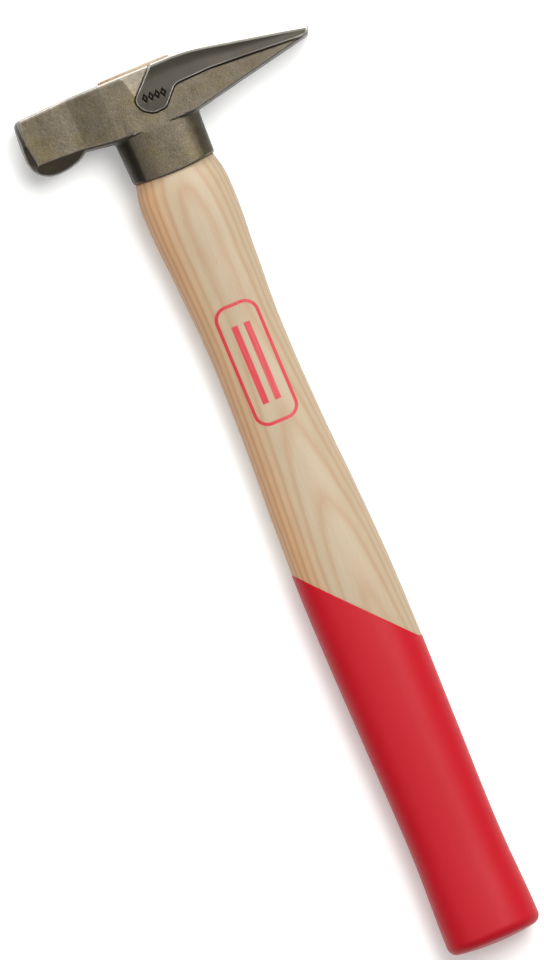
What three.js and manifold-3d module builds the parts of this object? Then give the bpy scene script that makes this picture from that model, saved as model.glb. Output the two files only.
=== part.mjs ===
// A small cross-peen hammer of the 200 g class: forged head with a collar, ash handle, wedges and dipped grip.
// Millimetres. It lies on its side: the peen points to +X, the head is at the +Y end, and +Z is up.
// Until the last lines, Y counts from the collar's rim and the handle's centre line is on X = 0, Z = 0.

import * as THREE from 'three';
import { mergeVertices } from 'three/addons/utils/BufferGeometryUtils.js';
import Module from 'manifold-3d';

const wasm = await Module();
wasm.setup();

// Head, side view
const FACE_X = -40.9;
const POLL_FLAT_X = -29.4;
const NECK_X = -23;
const EYE_START_X = -14.5;
const SHOULDER_X = 11;
const PEEN_ROOT_X = 13.4;
const PEEN_X = 22.2;
const TIP_X = 53.9;
const TOP_Y = 33.3;
const FACE_TOP_Y = 32.6;
const FACE_BOTTOM_Y = 17.7;
const NECK_BOTTOM_Y = 16.4;
const EYE_BOTTOM_Y = 15.2;
const PEEN_ROOT_Y = 14.5;
const TIP_BOTTOM_Y = 22.8;
const PEEN_FALL = THREE.MathUtils.degToRad(11.4);

// Head, thickness
const POLL_HALF = 9.6;
const CHEEK_HALF = 10.4;
const PANEL_PROUD = 0.7;
const PANEL_DEPTH = 2;
const EDGE_CHAMFER = 0.8;
const TIP_CHAMFER = 0.6;
const PEEN_STEPS = 3;

// Bell, the swell under the poll, and the face turned round the same height
const BELL_RADIUS = 9.65;
const BELL_Y = 22.95;
const BELL_X = -32.6;
const BELL_FRONT = { reach: 8.6, power: 2.3 };
const BELL_BACK = { reach: 13, power: 2 };
const BELL_STEPS = 7;
const FACE_SIDES = 48;

// The turned face from its flat middle outwards: slight dome, chamfer, then clear of the block
const FACE_PROFILE = [
  { back: 0, radius: 0 },
  { back: 0, radius: 4.5 },
  { back: 0.25, radius: 7 },
  { back: 0.7, radius: 8.9 },
  { back: 1.8, radius: 9.9 },
  { back: 2.6, radius: 13.4 },
  { back: 8, radius: 66 },
  { back: 150, radius: 66 },
  { back: 150, radius: 0 },
];

// The raised panel from the blunt point over the eye, along its lower edge to the peen's tip
const PANEL_START_X = 5.6;
const PANEL_LOWER_EDGE = [
  [-2.4, 25.9],
  [-3.3, 24.6],
  [-2, 21.4],
  [1.2, 19.5],
  [5.3, 19.8],
  [10.4, 25.3],
  [21.6, 25.7],
];
const PANEL_TIP_Y = 24;
const PANEL_TOP_STEPS = 4;

// Collar and eye
const COLLAR_RIM = { x: 13.3, z: 9.8 };
const COLLAR_TOP = { x: 13.8, z: 10.2, y: 17 };
const RIM_SAG = 1.4;
const EYE_RIM = { x: 12, z: 8 };
const EYE_TOP = { x: 12, z: 6.3 };
const EYE_OVERRUN = 3;

// Handle
const HANDLE_LENGTH = 254.2;
const TENON_TOP_Y = 34.2;
const TENON_GAP = 0.15;
const TENON_ROOT_Y = -4;
const SHOULDER_GAP = 0.3;
const SQUARENESS = 2.4;
const SIDES = 36;
const HANDLE_RINGS = 26;
const BUTT_ROUND = 3;
const BUTT_ROUND_STEPS = 4;

// Half widths and half thicknesses of the handle at distances below the collar's rim
const STATIONS = [
  { down: 3, x: 13.4, z: 9.5 },
  { down: 13, x: 14.4, z: 10 },
  { down: 32, x: 13.3, z: 9.1 },
  { down: 57, x: 12.35, z: 8.4 },
  { down: 92, x: 13.2, z: 9.1 },
  { down: 142, x: 15.05, z: 10.5 },
  { down: 216, x: 14.2, z: 10.2 },
  { down: 250, x: 15.2, z: 11.1 },
];
const HANDLE_TOP = { x: 12.75, z: 9.2 };

// Grip coat
const COAT = 0.5;
const COAT_GAP = 0.12;
const COAT_EDGE_DOWN = 143.3;
const COAT_EDGE_GAP = 0.3;
const COAT_SLANT = THREE.MathUtils.degToRad(47.5);
const CUTTER = 400;

// Wedges, thickest at the tenon's top
const WOOD_WEDGE = { top: 2.6, tip: 0.7, depth: 22, length: 22, turn: 0 };
const STEEL_WEDGE = { top: 1.9, tip: 0.5, depth: 12, length: 13, turn: 40 };
const WEDGE_GAP = 0.1;
const KERF_LENGTH = 30;
const CUT_ABOVE = 2;

function toSolid(geometry) {
  const bare = geometry.clone();
  bare.deleteAttribute('normal');
  bare.deleteAttribute('uv');
  const merged = mergeVertices(bare, 1e-4);
  return new wasm.Manifold(new wasm.Mesh({
    numProp: 3,
    vertProperties: new Float32Array(merged.attributes.position.array),
    triVerts: new Uint32Array(merged.index.array),
  }));
}

function toGeometry(solid) {
  const mesh = solid.getMesh();
  const geometry = new THREE.BufferGeometry();
  geometry.setAttribute('position', new THREE.BufferAttribute(new Float32Array(mesh.vertProperties), 3));
  geometry.setIndex(new THREE.BufferAttribute(new Uint32Array(mesh.triVerts), 1));
  geometry.computeVertexNormals();
  return geometry;
}

// A closed skin over rings of points, each with the same count, and a fan on the first and the last ring.
function loft(rings) {
  const sides = rings[0].length;
  const points = rings.flat();
  const faces = [];
  for (let row = 0; row + 1 < rings.length; row += 1) {
    for (let side = 0; side < sides; side += 1) {
      const a = row * sides + side;
      const b = row * sides + (side + 1) % sides;
      faces.push(a, b, a + sides, b, b + sides, a + sides);
    }
  }
  for (const row of [0, rings.length - 1]) {
    const middle = new THREE.Vector3();
    for (const point of rings[row]) middle.addScaledVector(point, 1 / sides);
    const centre = points.push(middle) - 1;
    for (let side = 0; side < sides; side += 1) {
      const a = row * sides + side;
      const b = row * sides + (side + 1) % sides;
      if (row === 0) faces.push(b, a, centre);
      else faces.push(a, b, centre);
    }
  }
  const geometry = new THREE.BufferGeometry().setFromPoints(points);
  geometry.setIndex(faces);
  return toSolid(geometry);
}

// An oval ring at height y. Rings made with it go down the handle, from the head to the butt.
function oval(y, halfX, halfZ) {
  const ring = [];
  for (let side = 0; side < SIDES; side += 1) {
    const angle = 2 * Math.PI * side / SIDES;
    const c = Math.cos(angle);
    const s = Math.sin(angle);
    const x = halfX * Math.sign(c) * Math.abs(c) ** (2 / SQUARENESS);
    const z = halfZ * Math.sign(s) * Math.abs(s) ** (2 / SQUARENESS);
    ring.push(new THREE.Vector3(x, y, z));
  }
  return ring;
}

// The collar's rim hangs lowest at the cheeks and rises to both ends of the oval.
function rimHeight(x) {
  return RIM_SAG * (x / COLLAR_RIM.x) ** 2;
}

function rimOval(drop, halfX, halfZ) {
  const ring = oval(0, halfX, halfZ);
  for (const point of ring) point.y = rimHeight(point.x) - drop;
  return ring;
}

function topHeight(x) {
  const radius = (PEEN_X - SHOULDER_X) / Math.sin(PEEN_FALL);
  const peenTop = TOP_Y - radius * (1 - Math.cos(PEEN_FALL));
  if (x <= NECK_X) {
    return THREE.MathUtils.mapLinear(x, FACE_X, NECK_X, FACE_TOP_Y, TOP_Y);
  }
  if (x <= SHOULDER_X) return TOP_Y;
  if (x <= PEEN_X) {
    return TOP_Y - radius * (1 - Math.cos(Math.asin((x - SHOULDER_X) / radius)));
  }
  return peenTop - Math.tan(PEEN_FALL) * (x - PEEN_X);
}

// The lower edge of the head without its bell.
function bottomHeight(x) {
  const line = [
    [FACE_X, FACE_BOTTOM_Y],
    [NECK_X, NECK_BOTTOM_Y],
    [EYE_START_X, EYE_BOTTOM_Y],
    [PEEN_ROOT_X, PEEN_ROOT_Y],
    [TIP_X, TIP_BOTTOM_Y],
  ];
  const next = Math.max(1, line.findIndex(([end]) => x <= end));
  const [fromX, fromY] = line[next - 1];
  const [toX, toY] = line[next];
  return THREE.MathUtils.mapLinear(x, fromX, toX, fromY, toY);
}

// The bell's underside: a short round from the face down, and a long one back up to the neck.
function bellHeight(x) {
  const { reach, power } = x < BELL_X ? BELL_FRONT : BELL_BACK;
  const part = Math.min(1, Math.abs(x - BELL_X) / reach);
  return BELL_Y - BELL_RADIUS * (1 - part ** power) ** (1 / power);
}

function cheekHalf(x) {
  const flare = THREE.MathUtils.clamp((x - POLL_FLAT_X) / (EYE_START_X - POLL_FLAT_X), 0, 1);
  return THREE.MathUtils.lerp(POLL_HALF, CHEEK_HALF, flare);
}

// A ring across the head at x. Its lower corners are cut from the cheeks' edge down to the keel at 45 degrees.
function headRing(x, inset, chamfer) {
  const top = topHeight(x) - inset;
  const bottom = bottomHeight(x) + inset;
  const half = cheekHalf(x) - inset;
  const keel = x < BELL_X ? bellHeight(x) : Math.min(bottom, bellHeight(x));
  const edge = Math.max(bottom, keel) + chamfer;
  const keelHalf = half - (edge - keel);
  return [
    [top, half - chamfer],
    [top - chamfer, half],
    [edge, half],
    [keel, keelHalf],
    [keel, -keelHalf],
    [edge, -half],
    [top - chamfer, -half],
    [top, chamfer - half],
  ].map(([y, z]) => new THREE.Vector3(x, y, z));
}

function headBlock() {
  const stops = [];
  for (let step = 0; step < BELL_STEPS; step += 1) {
    const angle = Math.PI / 2 * (1 - step / BELL_STEPS);
    stops.push(BELL_X - BELL_FRONT.reach * Math.sin(angle));
  }
  for (let step = 0; step < BELL_STEPS; step += 1) {
    stops.push(THREE.MathUtils.lerp(BELL_X, NECK_X, step / BELL_STEPS));
  }
  stops.push(NECK_X, EYE_START_X, SHOULDER_X, PEEN_ROOT_X);
  for (let step = 1; step <= PEEN_STEPS; step += 1) {
    stops.push(THREE.MathUtils.lerp(PEEN_ROOT_X, PEEN_X, step / PEEN_STEPS));
  }
  const rings = stops.map((x) => headRing(x, 0, EDGE_CHAMFER));
  rings.push(headRing(TIP_X - TIP_CHAMFER, 0, TIP_CHAMFER));
  rings.push(headRing(TIP_X, TIP_CHAMFER, TIP_CHAMFER / 2));
  return loft(rings);
}

// The shape that the face end is turned to: a flat in the middle, a slight dome, a chamfer and a flat ring.
function faceEnvelope() {
  const points = FACE_PROFILE.map(({ back, radius }) => new THREE.Vector2(radius, -FACE_X - back)).reverse();
  const geometry = new THREE.LatheGeometry(points, FACE_SIDES);
  geometry.rotateZ(Math.PI / 2);
  geometry.translate(0, BELL_Y, 0);
  return toSolid(geometry);
}

function collar() {
  return loft([
    oval(COLLAR_TOP.y, COLLAR_TOP.x, COLLAR_TOP.z),
    rimOval(0, COLLAR_RIM.x, COLLAR_RIM.z),
  ]);
}

// The eye from past its top to past the rim, or the tenon in it when gap is given.
function eye(top, bottom, gap) {
  const rings = [top, bottom].map((y) => {
    const halfX = THREE.MathUtils.mapLinear(y, 0, TOP_Y, EYE_RIM.x, EYE_TOP.x) - gap;
    const halfZ = THREE.MathUtils.mapLinear(y, 0, TOP_Y, EYE_RIM.z, EYE_TOP.z) - gap;
    return oval(y, halfX, halfZ);
  });
  return loft(rings);
}

// The raised field on a cheek: it starts in a blunt point over the eye and runs along the peen's upper half.
function panel() {
  const outline = new THREE.Shape();
  const tipX = TIP_X - TIP_CHAMFER;
  outline.moveTo(PANEL_START_X, topHeight(PANEL_START_X) - EDGE_CHAMFER);
  for (const [x, y] of PANEL_LOWER_EDGE) outline.lineTo(x, y);
  outline.lineTo(tipX, PANEL_TIP_Y);
  outline.lineTo(tipX, topHeight(tipX) - EDGE_CHAMFER);
  for (let step = 0; step <= PANEL_TOP_STEPS; step += 1) {
    const x = THREE.MathUtils.lerp(PEEN_X, SHOULDER_X, step / PANEL_TOP_STEPS);
    outline.lineTo(x, topHeight(x) - EDGE_CHAMFER);
  }
  const geometry = new THREE.ExtrudeGeometry(outline, { depth: PANEL_DEPTH, bevelEnabled: false });
  geometry.translate(0, 0, CHEEK_HALF + PANEL_PROUD - PANEL_DEPTH);
  return toSolid(geometry);
}

function panelBehind() {
  return panel().mirror([0, 0, 1]);
}

function hammerHead() {
  return headBlock()
    .intersect(faceEnvelope())
    .add(collar())
    .add(panel())
    .add(panelBehind())
    .subtract(eye(TOP_Y + EYE_OVERRUN, -EYE_OVERRUN, 0));
}

// The handle's outside below the collar, pulled in all round by inset.
function handleShape(inset) {
  const stations = STATIONS.map(({ down, x, z }) => new THREE.Vector3(x, -down, z));
  const spine = new THREE.CatmullRomCurve3(stations, false, 'centripetal');
  const rings = [rimOval(SHOULDER_GAP, HANDLE_TOP.x - inset, HANDLE_TOP.z - inset)];
  for (const point of spine.getPoints(HANDLE_RINGS)) {
    rings.push(oval(point.y, point.x - inset, point.z - inset));
  }
  const end = stations[stations.length - 1];
  const round = BUTT_ROUND - inset;
  for (let step = 1; step <= BUTT_ROUND_STEPS; step += 1) {
    const angle = Math.PI / 2 * step / BUTT_ROUND_STEPS;
    const pull = inset + round * (1 - Math.cos(angle));
    rings.push(oval(end.y - round * Math.sin(angle), end.x - pull, end.z - pull));
  }
  rings.push(oval(inset - HANDLE_LENGTH, end.x / 2, end.z / 2));
  return loft(rings);
}

// Everything below the slanted edge of the dipped coat, with the edge moved down by drop.
function belowDipLine(drop) {
  const cutter = new THREE.BoxGeometry(CUTTER, CUTTER, CUTTER);
  cutter.translate(0, -CUTTER / 2, 0);
  cutter.rotateZ(-COAT_SLANT);
  cutter.translate(0, -COAT_EDGE_DOWN - drop, 0);
  return toSolid(cutter);
}

// A wedge with its long way along X, turned about the handle's axis, made larger all round by grow.
function wedge({ top, tip, depth, length, turn }, grow, above) {
  const spread = (top - tip) / depth;
  const crown = top / 2 + grow + spread * above / 2;
  const point = tip / 2 + grow;
  const profile = new THREE.Shape();
  profile.moveTo(-crown, TENON_TOP_Y + above);
  profile.lineTo(-point, TENON_TOP_Y - depth - grow);
  profile.lineTo(point, TENON_TOP_Y - depth - grow);
  profile.lineTo(crown, TENON_TOP_Y + above);
  const run = length + 2 * grow;
  const geometry = new THREE.ExtrudeGeometry(profile, { depth: run, bevelEnabled: false });
  geometry.translate(0, 0, -run / 2);
  geometry.rotateY(THREE.MathUtils.degToRad(90 - turn));
  return toSolid(geometry);
}

function steelWedgeSlot() {
  return wedge(STEEL_WEDGE, WEDGE_GAP, CUT_ABOVE);
}

function handle() {
  const kerf = wedge({ ...WOOD_WEDGE, length: KERF_LENGTH }, WEDGE_GAP, CUT_ABOVE);
  return handleShape(0)
    .subtract(belowDipLine(-COAT_EDGE_GAP))
    .add(handleShape(COAT + COAT_GAP))
    .add(eye(TENON_TOP_Y, TENON_ROOT_Y, TENON_GAP))
    .subtract(kerf)
    .subtract(steelWedgeSlot());
}

function woodenWedge() {
  return wedge(WOOD_WEDGE, 0, 0).subtract(steelWedgeSlot());
}

function steelWedge() {
  return wedge(STEEL_WEDGE, 0, 0);
}

function gripCoat() {
  return handleShape(0)
    .intersect(belowDipLine(0))
    .subtract(handleShape(COAT));
}

function piece(name, solid, color, roughness, metalness) {
  const material = new THREE.MeshStandardMaterial({ color, roughness, metalness });
  const mesh = new THREE.Mesh(toGeometry(solid), material);
  mesh.name = name;
  return mesh;
}

const hammer = new THREE.Group();
hammer.add(piece('hammer_head', hammerHead(), 0x7d766b, 0.45, 0.9));
hammer.add(piece('handle', handle(), 0xdcc6a4, 0.6, 0));
hammer.add(piece('wooden_wedge', woodenWedge(), 0xb98d5f, 0.7, 0));
hammer.add(piece('steel_wedge', steelWedge(), 0x6f7072, 0.4, 1));
hammer.add(piece('grip_coat', gripCoat(), 0xd6253f, 0.35, 0));

// The origin goes to the middle of the box's underside, where the hammer lies on a bench.
const box = new THREE.Box3().setFromObject(hammer);
const middle = box.getCenter(new THREE.Vector3());
hammer.position.set(-middle.x, -middle.y, -box.min.z);

export default hammer;
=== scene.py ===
import math

import bmesh
import bpy
import numpy as np
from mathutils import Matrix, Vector


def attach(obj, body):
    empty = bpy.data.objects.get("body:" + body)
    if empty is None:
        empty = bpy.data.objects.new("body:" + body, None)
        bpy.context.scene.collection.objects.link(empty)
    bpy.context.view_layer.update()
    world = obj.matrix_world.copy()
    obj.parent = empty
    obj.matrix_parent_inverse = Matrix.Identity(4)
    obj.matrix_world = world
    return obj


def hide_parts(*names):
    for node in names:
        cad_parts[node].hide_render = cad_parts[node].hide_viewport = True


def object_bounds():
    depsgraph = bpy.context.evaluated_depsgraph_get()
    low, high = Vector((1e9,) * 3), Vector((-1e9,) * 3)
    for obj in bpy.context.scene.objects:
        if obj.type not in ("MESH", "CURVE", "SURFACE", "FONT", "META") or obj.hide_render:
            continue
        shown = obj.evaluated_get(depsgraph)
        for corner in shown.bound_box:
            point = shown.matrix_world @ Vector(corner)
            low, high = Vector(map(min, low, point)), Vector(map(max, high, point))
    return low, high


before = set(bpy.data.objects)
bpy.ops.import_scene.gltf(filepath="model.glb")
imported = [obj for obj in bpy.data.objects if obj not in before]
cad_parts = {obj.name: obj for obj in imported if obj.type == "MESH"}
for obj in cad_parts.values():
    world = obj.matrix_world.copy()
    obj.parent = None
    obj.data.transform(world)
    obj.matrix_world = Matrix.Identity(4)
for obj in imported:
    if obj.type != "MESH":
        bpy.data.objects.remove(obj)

cad_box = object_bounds()


# ---------------------------------------------------------------- the bench, the light and the camera
# The hammer lies on its side on a pale bench, seen square on from above, with the head up and to the left.
# Broad soft lights stand above and to the right of the head, so that top edges catch light and the faces
# below fall dark. The steel's colour adds painted shade on the faces below and a painted highlight along the
# top edges.

CAMERA_TURN = math.radians(-22.7)
CAMERA_HEIGHT = 4.0
FRAME_HEIGHT = 0.2926
CAMERA_ASIDE = (-0.0156, 0.0122)
SENSOR = 36
BENCH_REACH = 4.0


def linear(code):
    """A #rrggbb colour as linear red, green, blue and alpha."""
    parts = [int(code[i:i + 2], 16) / 255 for i in (1, 3, 5)]
    return [p / 12.92 if p <= 0.04045 else ((p + 0.055) / 1.055) ** 2.4 for p in parts] + [1]


def new_material(name):
    """A material with an empty node tree, and the tree."""
    material = bpy.data.materials.new(name)
    material.use_nodes = True
    material.node_tree.nodes.clear()
    return material, material.node_tree


def add(tree, kind, settings={}, *places, **names):
    """Adds a node with its settings. An input is a value, a socket, or a node that gives its first output."""
    node = tree.nodes.new(kind)
    for key, value in settings.items():
        setattr(node, key, value)
    free = [socket for socket in node.inputs if socket.enabled]
    pairs = list(zip(free, places))
    for key, value in names.items():
        pairs.append((next(s for s in free if s.name == key.replace("_", " ")), value))
    for socket, value in pairs:
        if isinstance(value, bpy.types.Node):
            value = next(s for s in value.outputs if s.enabled)
        if isinstance(value, bpy.types.NodeSocket):
            tree.links.new(value, socket)
        elif value is not None:
            socket.default_value = value
    return node


def mesh_piece(name, vertices, faces, material):
    """A smooth-shaded object from plain lists, in the row frame's metres."""
    mesh = bpy.data.meshes.new(name)
    mesh.from_pydata(vertices, [], faces)
    mesh.materials.append(material)
    mesh.shade_smooth()
    piece = bpy.data.objects.new(name, mesh)
    bpy.context.scene.collection.objects.link(piece)
    return piece


bench_material, tree = new_material("bench_white_laminate")
shader = add(tree, "ShaderNodeBsdfPrincipled", Base_Color=linear("#f4f4f3"), Roughness=0.7,
             Emission_Color=linear("#f4f4f3"), Emission_Strength=0.22)
add(tree, "ShaderNodeOutputMaterial", {}, shader)
bench = mesh_piece(
    "bench",
    [(x * BENCH_REACH, y * BENCH_REACH, 0) for x, y in ((-1, -1), (1, -1), (1, 1), (-1, 1))],
    [(0, 1, 2, 3)],
    bench_material,
)

low, high = cad_box
middle = (Vector(low) + Vector(high)) / 2
camera_data = bpy.data.cameras.new("camera")
camera_data.sensor_width = SENSOR
camera_data.lens = SENSOR * CAMERA_HEIGHT / FRAME_HEIGHT
camera = bpy.data.objects.new("camera", camera_data)
bpy.context.scene.collection.objects.link(camera)
camera.location = (middle.x + CAMERA_ASIDE[0], middle.y + CAMERA_ASIDE[1], middle.z + CAMERA_HEIGHT)
camera.rotation_euler = (0, 0, CAMERA_TURN)
bpy.context.scene.camera = camera
view_right = Vector((math.cos(CAMERA_TURN), math.sin(CAMERA_TURN), 0))
view_up = Vector((-math.sin(CAMERA_TURN), math.cos(CAMERA_TURN), 0))


def softbox(name, right, up, height, size, watts):
    """A square area light that looks at the hammer. right and up are counted in the camera's view."""
    data = bpy.data.lights.new(name, "AREA")
    data.size = size
    data.energy = watts
    light = bpy.data.objects.new(name, data)
    light.location = middle + view_right * right + view_up * up + Vector((0, 0, height))
    light.rotation_euler = (middle - light.location).to_track_quat("-Z", "Y").to_euler()
    bpy.context.scene.collection.objects.link(light)


softbox("key_light", 0.32, 0.55, 1.45, 0.8, 21.5)
softbox("top_light", -0.3, 1.3, 0.6, 0.6, 12)
softbox("fill_light", -0.6, -0.5, 1.5, 1.0, 4.5)

# The room lights the hammer more from the lights' side than from behind the butt, and looks pale all round
world = bpy.data.worlds.new("studio")
world.use_nodes = True
tree = world.node_tree
tree.nodes.clear()
direction = add(tree, "ShaderNodeTexCoord").outputs["Generated"]
pale_side = (view_up * 0.62 + view_right * 0.42 + Vector((0, 0, 0.66))).normalized()
toward = add(tree, "ShaderNodeVectorMath", {"operation": "DOT_PRODUCT"}, direction, tuple(pale_side))
toward = toward.outputs["Value"]
glow = add(tree, "ShaderNodeMapRange", {"interpolation_type": "SMOOTHSTEP"}, toward, -0.35, 0.95, 0.08, 0.52)
glow = add(tree, "ShaderNodeMix", {}, add(tree, "ShaderNodeLightPath"), glow, 0.85)
backdrop = add(tree, "ShaderNodeBackground", {}, linear("#f2f2f0"), glow)
add(tree, "ShaderNodeOutputWorld", {}, backdrop)
bpy.context.scene.world = world
bpy.context.scene.view_settings.view_transform = "Standard"


# ---------------------------------------------------------------- the head
# One drop forging of tool steel: a square poll with a turned round face, an eye with a deep collar, and a
# cross peen. It is blasted to a matt grey and oiled, and the panel that runs along the peen is ground smooth.
# It sits on the handle's tenon and is held by the wedges. Sizes are in mm, counted up from the collar's rim.

MM = 0.001
RIM_TO_FRAME = np.array([-6.5, 110.0, 11.1])

FACE_X = -40.9
PAST_FACE_X = -46
NECK_X = -23
EYE_START_X = -14.5
SHOULDER_X = 11
PEEN_ROOT_X = 13.4
PEEN_X = 22.2
TOP_Y = 33.3
FACE_TOP_Y = 32.6
NECK_BOTTOM_Y = 16.4
EYE_BOTTOM_Y = 15.2
PEEN_ROOT_Y = 15.0
PEEN_FALL = math.radians(11.4)
PEEN_TIP = [(54.3, 25.6), (53.4, 23.2)]
POLL_HALF = 9.68
NECK_HALF = 9.6
CHEEK_HALF = 10.4
BELL_X = -32.6
BELL_Y = 22.95
BELL_RADIUS = 9.65
BELL_FRONT_REACH = 8.6
BELL_BACK_REACH = 13
DOME_RADIUS = 8.9
DOME_RISE = 0.7
FACE_RADIUS = 9.9
SHOULDER_BACK = 1.8
TOP_CHAMFER = 0.75
COLLAR_RIM = (13.3, 9.8)
COLLAR_TOP = (13.8, 10.46)
COLLAR_TOP_Y = 14.5
COLLAR_SQUARENESS = 3.3
COLLAR_END_Y = 24
RIM_SAG = 1.4
EYE_SQUARENESS = 2.4
EYE_HALF_X = 12
EYE_RIM_HALF_Z = 8
EYE_TAPER = 1.7
PANEL_PROUD = 0.7
FULLER_DEPTH = 0.3
FACET_CORNER = (-4.2, 31.9)
FACET_ACROSS = (0.966, 0.262)
FACET_SLOPE = math.tan(math.radians(15))


def rounded_and(a, b, radius):
    """Where two solids meet, with their common edge rounded."""
    corner = np.hypot(np.maximum(a + radius, 0), np.maximum(b + radius, 0))
    return np.minimum(-radius, np.maximum(a, b)) + corner


def rounded_or(a, b, radius):
    """Two solids joined, with a fillet of the given radius between them."""
    corner = np.hypot(np.maximum(radius - a, 0), np.maximum(radius - b, 0))
    return np.maximum(radius, np.minimum(a, b)) - corner


def outline_distance(x, y, outline):
    """Signed distance to a closed outline, negative inside it."""
    nearest = np.full(np.broadcast(x, y).shape, np.inf)
    inside = np.zeros(nearest.shape, dtype=bool)
    for (ax, ay), (bx, by) in zip(outline, outline[1:] + outline[:1]):
        length_squared = (bx - ax) ** 2 + (by - ay) ** 2
        along = np.clip(((x - ax) * (bx - ax) + (y - ay) * (by - ay)) / length_squared, 0, 1)
        nearest = np.minimum(nearest, np.hypot(x - ax - along * (bx - ax), y - ay - along * (by - ay)))
        if ay != by:
            crossing = ((ay > y) != (by > y)) & (x < (bx - ax) * (y - ay) / (by - ay) + ax)
            inside ^= crossing
    return np.where(inside, -nearest, nearest)


def softened(outline, reach):
    """An outline with each corner cut off, reach from the corner along its two sides."""
    points = []
    for (ax, ay), (bx, by) in zip(outline, outline[1:] + outline[:1]):
        share = min(0.33, reach / math.hypot(bx - ax, by - ay))
        points.append((ax + share * (bx - ax), ay + share * (by - ay)))
        points.append((bx - share * (bx - ax), by - share * (by - ay)))
    return points


def top_height(x):
    """The head's top edge: level over the eye, then a short round into the falling peen."""
    radius = (PEEN_X - SHOULDER_X) / math.sin(PEEN_FALL)
    if x <= NECK_X:
        return FACE_TOP_Y + (TOP_Y - FACE_TOP_Y) * (x - FACE_X) / (NECK_X - FACE_X)
    if x <= SHOULDER_X:
        return TOP_Y
    if x <= PEEN_X:
        return TOP_Y - radius + math.sqrt(radius ** 2 - (x - SHOULDER_X) ** 2)
    return TOP_Y - radius * (1 - math.cos(PEEN_FALL)) - math.tan(PEEN_FALL) * (x - PEEN_X)


def bell_height(x):
    """The swell under the poll: a short round at the face, and a long one back to the neck."""
    reach, power = (BELL_FRONT_REACH, 2.3) if x < BELL_X else (BELL_BACK_REACH, 2)
    part = min(1, abs(x - BELL_X) / reach)
    return BELL_Y - BELL_RADIUS * (1 - part ** power) ** (1 / power)


bell_stops = [BELL_X - BELL_FRONT_REACH * math.sin(math.pi / 2 * (1 - i / 14)) for i in range(14)]
bell_stops += [BELL_X + (NECK_X - BELL_X) * i / 12 for i in range(12)]
top_stops = [NECK_X, SHOULDER_X] + [SHOULDER_X + (PEEN_X - SHOULDER_X) * i / 8 for i in range(1, 9)]
side_outline = [(PAST_FACE_X, BELL_Y)]
side_outline += [(x, bell_height(x)) for x in bell_stops]
side_outline += [(NECK_X, NECK_BOTTOM_Y), (EYE_START_X, EYE_BOTTOM_Y), (PEEN_ROOT_X, PEEN_ROOT_Y)]
side_outline += PEEN_TIP[::-1]
side_outline += [(x, top_height(x)) for x in top_stops[::-1]]
side_outline += [(PAST_FACE_X, top_height(PAST_FACE_X))]

cheek_outline = [(-38.8, 25), (-37.8, 17.75), (-30, 17.5), (NECK_X, 17.1), (EYE_START_X, 15.9)]
cheek_outline += [(-7.5, 15.5), (-4, 11), (3, 11), (6.5, 15.2)]
cheek_outline += [(PEEN_ROOT_X, PEEN_ROOT_Y + 0.4), (PEEN_TIP[1][0] - 0.4, PEEN_TIP[1][1] + 0.35)]
cheek_outline += [(PEEN_TIP[0][0] - 0.5, PEEN_TIP[0][1] - TOP_CHAMFER)]
cheek_outline += [(x, top_height(x) - TOP_CHAMFER) for x in top_stops[::-1]]
cheek_outline += [(-38.4, top_height(-38.4) - TOP_CHAMFER)]

panel_outline = [(12.1, 40), (-2.4, 25.6), (-3.4, 24.0), (-2.2, 20.9), (0.9, 18.8), (5.2, 19.1), (10.2, 24.6)]
panel_outline += [(21.6, 25.0), (31, 24.4), (54.4, 22.9), (60, 22.6), (60, 40)]
panel_outline = softened(softened(panel_outline, 0.7), 0.25)
STAMP_MIDDLE = (2.9, 23.9)
STAMP_PITCH = 1.95
STAMP_TILT = math.radians(-3)
STAMP_DEPTH = 0.28


def panel_share(x, y):
    """1 on the raised panel, 0 off it, and between the two on the sloping wall round it."""
    wall = np.interp(x, [22, 31, 50], [0.6, 0.95, 0.6])
    step = np.clip(0.5 - outline_distance(x, y, panel_outline) / wall, 0, 1)
    return step * step * (3 - 2 * step)


def stamp_depth(x, y):
    """Four small hollow lozenges punched in a row on the panel's round end."""
    across = (x - STAMP_MIDDLE[0]) * math.cos(STAMP_TILT) + (y - STAMP_MIDDLE[1]) * math.sin(STAMP_TILT)
    up = (y - STAMP_MIDDLE[1]) * math.cos(STAMP_TILT) - (x - STAMP_MIDDLE[0]) * math.sin(STAMP_TILT)
    depth = 0
    for place in (-1.5, -0.5, 0.5, 1.5):
        lozenge = np.abs(across - place * STAMP_PITCH) / 0.78 + np.abs(up) / 1.3
        depth = np.maximum(depth, np.clip(1.5 - np.abs(lozenge - 0.85) / 0.22, 0, 1))
    return STAMP_DEPTH * depth


def cheek_height(x, y, front):
    """How far the cheek's surface stands from the head's middle plane."""
    flare_x = [-28.2, -24.5, -22.5, -14.5, -12]
    half = np.interp(x, flare_x, [POLL_HALF, NECK_HALF, NECK_HALF, 10.25, CHEEK_HALF])
    across = (x - FACET_CORNER[0]) * FACET_ACROSS[0] + (y - FACET_CORNER[1]) * FACET_ACROSS[1]
    facet = np.where(y > 25.9, (across + np.hypot(across, 0.3)) / 2 * FACET_SLOPE, 0)
    top = np.interp(x, [SHOULDER_X, PEEN_X, 54], [TOP_Y, 32.2, 25.8])
    reach = np.interp(x, [10, 30, 54], [3.4, 2.6, 0.8])
    fuller = np.exp(-((y - top + 1.25 * reach) / reach) ** 2)
    fuller = FULLER_DEPTH * np.interp(x, [30, 54], [1, 0.3]) * fuller
    share = panel_share(x, y)
    return half - (1 - share) * facet + share * (PANEL_PROUD - fuller - stamp_depth(x, y) * front)


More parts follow.
